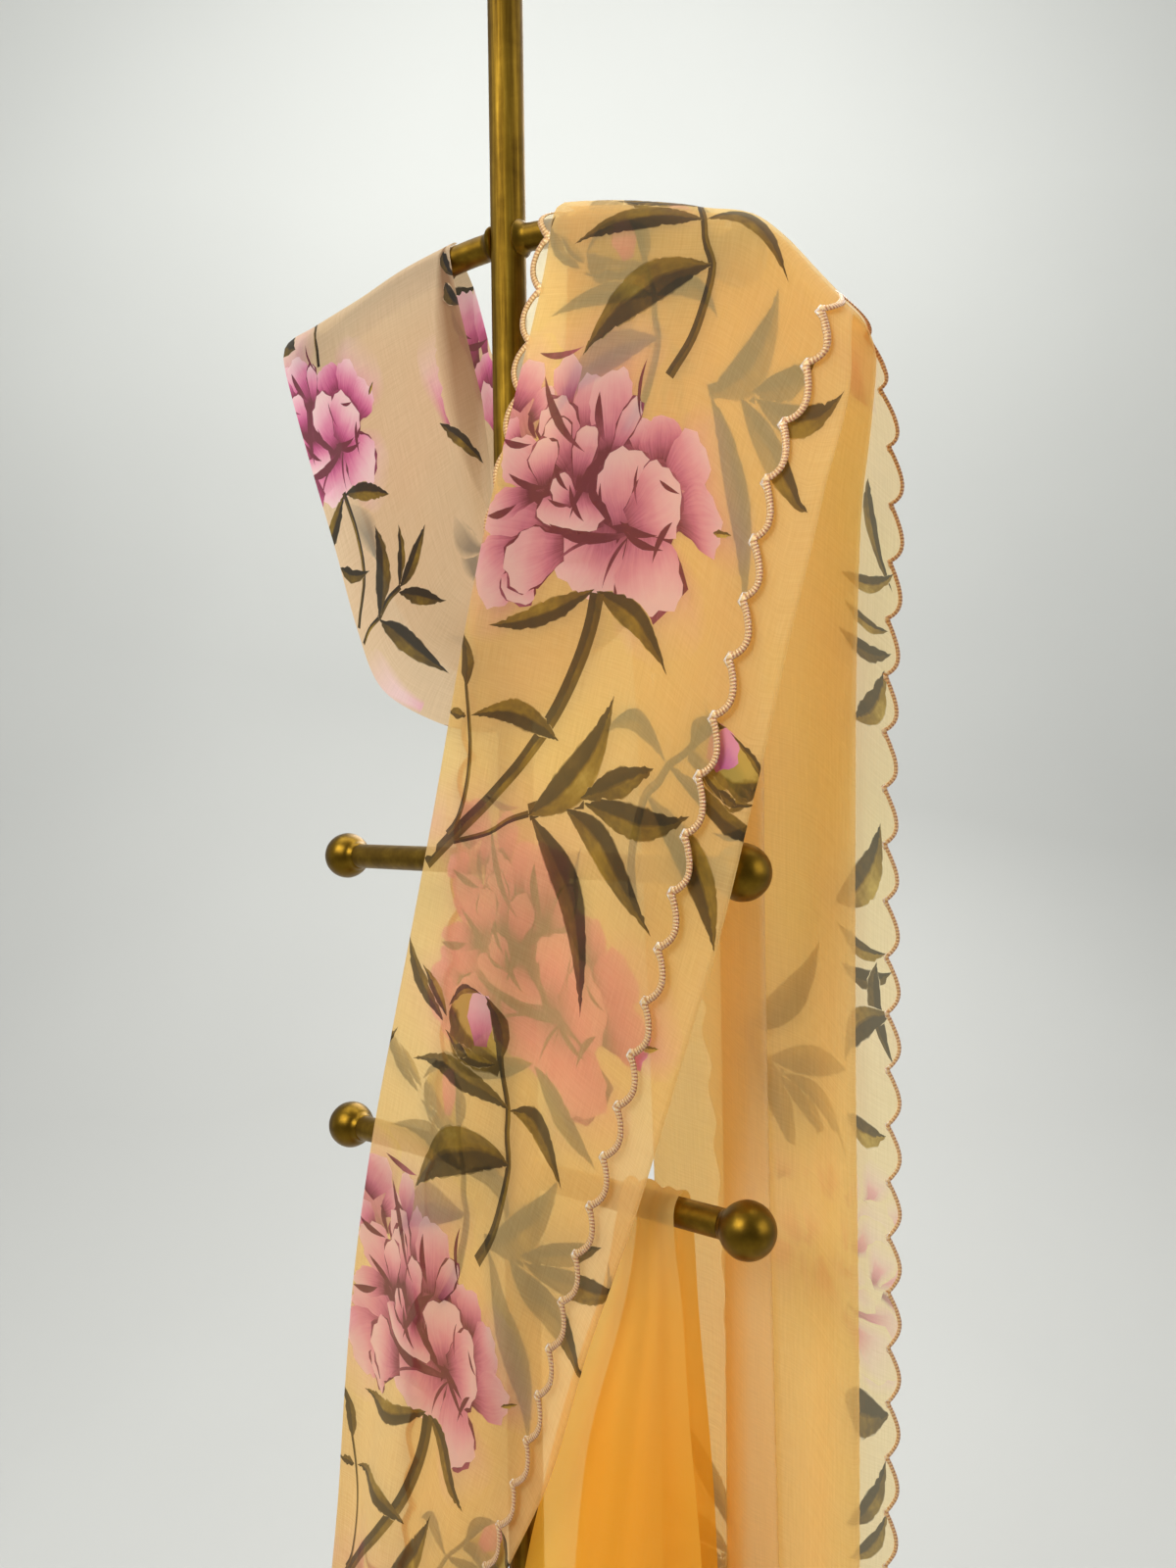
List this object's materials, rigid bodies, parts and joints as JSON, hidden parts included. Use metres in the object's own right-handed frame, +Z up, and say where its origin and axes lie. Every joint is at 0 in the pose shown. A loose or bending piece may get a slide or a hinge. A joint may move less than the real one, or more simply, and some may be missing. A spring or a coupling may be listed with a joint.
{
  "type": "organza saree on a display stand",
  "caption": "Sheer organza saree with a floral print and scalloped embroidered edges, hung in folds over the arms of a round-based brass display stand.",
  "frame": {"origin": "middle of the base plate's underside, on the pole's axis", "axes": "+Z up along the pole, -Y towards the viewer's side where the folded pallu hangs, +X to the right seen from there"},
  "size_m": [0.4586, 0.38, 1.8273],
  "materials": {
    "printed_organza": "sheer pale peach organza with a printed floral design and pink-gold scalloped embroidery",
    "plain_organza": "sheer plain organza, saturated orange where it is bunched",
    "stand_brass": "brushed antique brass with darker streaks"
  },
  "bodies": {
    "root": {"pallu_front": "printed_organza", "pallu_back": "printed_organza", "swag_front": "printed_organza", "swag_back": "printed_organza", "body_pleats": "plain_organza", "base_plate": "stand_brass", "pole_collar": "stand_brass", "pole": "stand_brass", "pole_finial": "stand_brass", "yoke_left": "stand_brass", "yoke_right": "stand_brass", "yoke_ball_left": "stand_brass", "yoke_ball_right": "stand_brass", "middle_rod_left": "stand_brass", "middle_rod_right": "stand_brass", "middle_ball_left": "stand_brass", "middle_ball_right": "stand_brass", "lower_rod_left": "stand_brass", "lower_rod_right": "stand_brass", "lower_ball_left": "stand_brass", "lower_ball_right": "stand_brass"}
  },
  "joints": []
}
